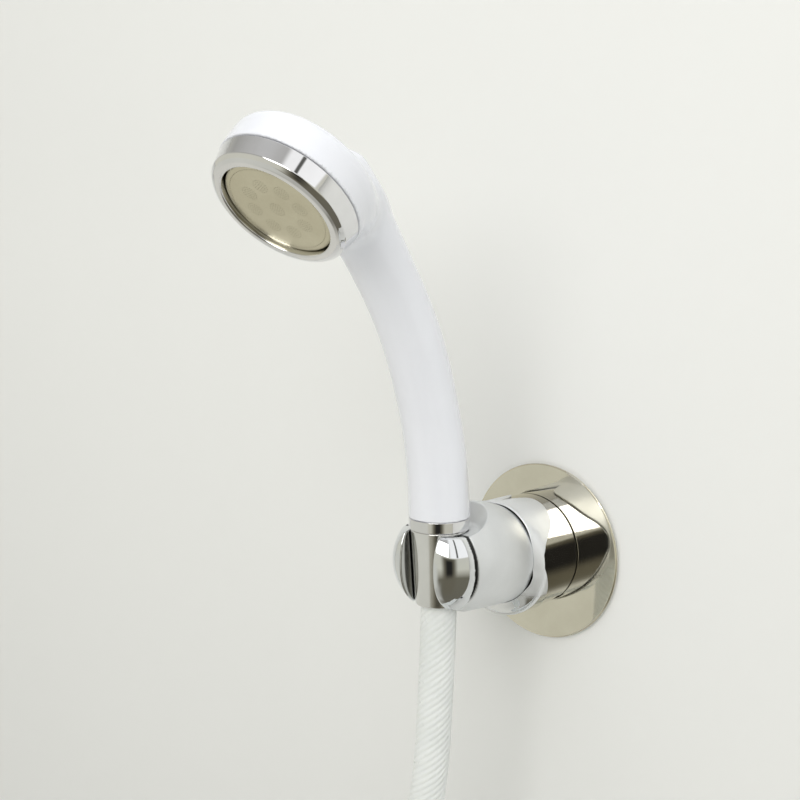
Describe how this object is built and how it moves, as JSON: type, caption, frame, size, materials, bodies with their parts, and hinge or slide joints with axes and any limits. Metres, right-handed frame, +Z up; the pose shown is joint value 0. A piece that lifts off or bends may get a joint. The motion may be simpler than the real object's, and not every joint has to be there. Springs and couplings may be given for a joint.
{
  "type": "handheld shower head",
  "caption": "Slim curved handheld shower head with a round face, resting in a swivel hook on a round wall plate with a twist-lock base, with its ribbed hose.",
  "frame": {"origin": "where the hook's axis meets the wall, on the adhesive pad's back face", "axes": "+Y into the wall, +Z up, +X to the right for someone facing the wall"},
  "size_m": [0.1856, 0.1768, 0.5613],
  "materials": {
    "pad_foam": "white closed-cell adhesive foam",
    "stainless": "polished stainless sheet",
    "cup_rubber": "soft matt rubber",
    "brass": "turned brass",
    "steel": "bright zinc-plated steel",
    "chrome_abs": "bright chrome plating on moulded ABS",
    "satin_chrome_abs": "soft chrome plating on moulded ABS",
    "acetal": "moulded acetal",
    "white_abs": "gloss white moulded ABS",
    "spray_steel": "satin stainless spray plate",
    "seal_rubber": "black seal rubber",
    "chrome_brass": "bright chrome plating on turned brass",
    "hose_pvc": "ribbed white soft PVC",
    "tie_plastic": "moulded strap"
  },
  "bodies": {
    "base": {"adhesive_pad": "pad_foam", "wall_plate": "stainless", "suction_cup": "cup_rubber", "base_housing": "chrome_abs", "thrust_washer": "acetal", "hook_screw": "steel", "spring_washer": "steel"},
    "dial": {"dial_ring": "chrome_abs"},
    "drawbar": {"cup_stud": "brass", "cam_pin": "steel"},
    "hook": {"hook": "satin_chrome_abs"},
    "hose": {"hose_tail_top": "brass", "hose_run": "hose_pvc", "hose_coil": "hose_pvc", "hose_tie": "tie_plastic", "hose_end": "hose_pvc", "hose_tail_bottom": "chrome_brass"},
    "handset": {"handle_shell": "white_abs", "face_ring": "chrome_abs", "spray_plate": "spray_steel", "plate_gasket": "seal_rubber", "flow_disc": "acetal", "handle_adapter": "chrome_brass", "adapter_o_ring": "seal_rubber", "hose_cone_nut": "chrome_brass", "hose_washer": "seal_rubber"},
    "supply_nut": {"supply_nut": "chrome_brass", "supply_washer": "seal_rubber"}
  },
  "joints": [
    {"name": "dial_turn", "type": "hinge", "parent": "base", "child": "dial", "pos_m": [0, -0.012, 0], "axis": [0, -1, 0], "range_deg": [0, 90]},
    {"name": "drawbar_slide", "type": "slide", "parent": "base", "child": "drawbar", "axis": [0, 1, 0], "range_m": [0, 0.002], "deforming": ["suction_cup"]},
    {"name": "hook_swivel", "type": "hinge", "parent": "base", "child": "hook", "pos_m": [0, -0.024, 0], "axis": [0, 1, 0], "range_deg": [-75, 75]},
    {"name": "handset_lift", "type": "slide", "parent": "hook", "child": "hose", "axis": [0, 0, 1], "range_m": [0, 0.045]},
    {"name": "handset_turn", "type": "hinge", "parent": "hose", "child": "handset", "pos_m": [0, -0.06675, 0.0251], "axis": [0, 0, 1], "range_deg": [-110, 110]},
    {"name": "supply_nut_spin", "type": "hinge", "parent": "hose", "child": "supply_nut", "pos_m": [0.08576, -0.02941, -0.21049], "axis": [0.1, 0, 0.995], "continuous": true}
  ],
  "couplings": [
    {"joint": "drawbar_slide", "follows": "dial_turn", "m_per_rad": 0.0012731}
  ]
}
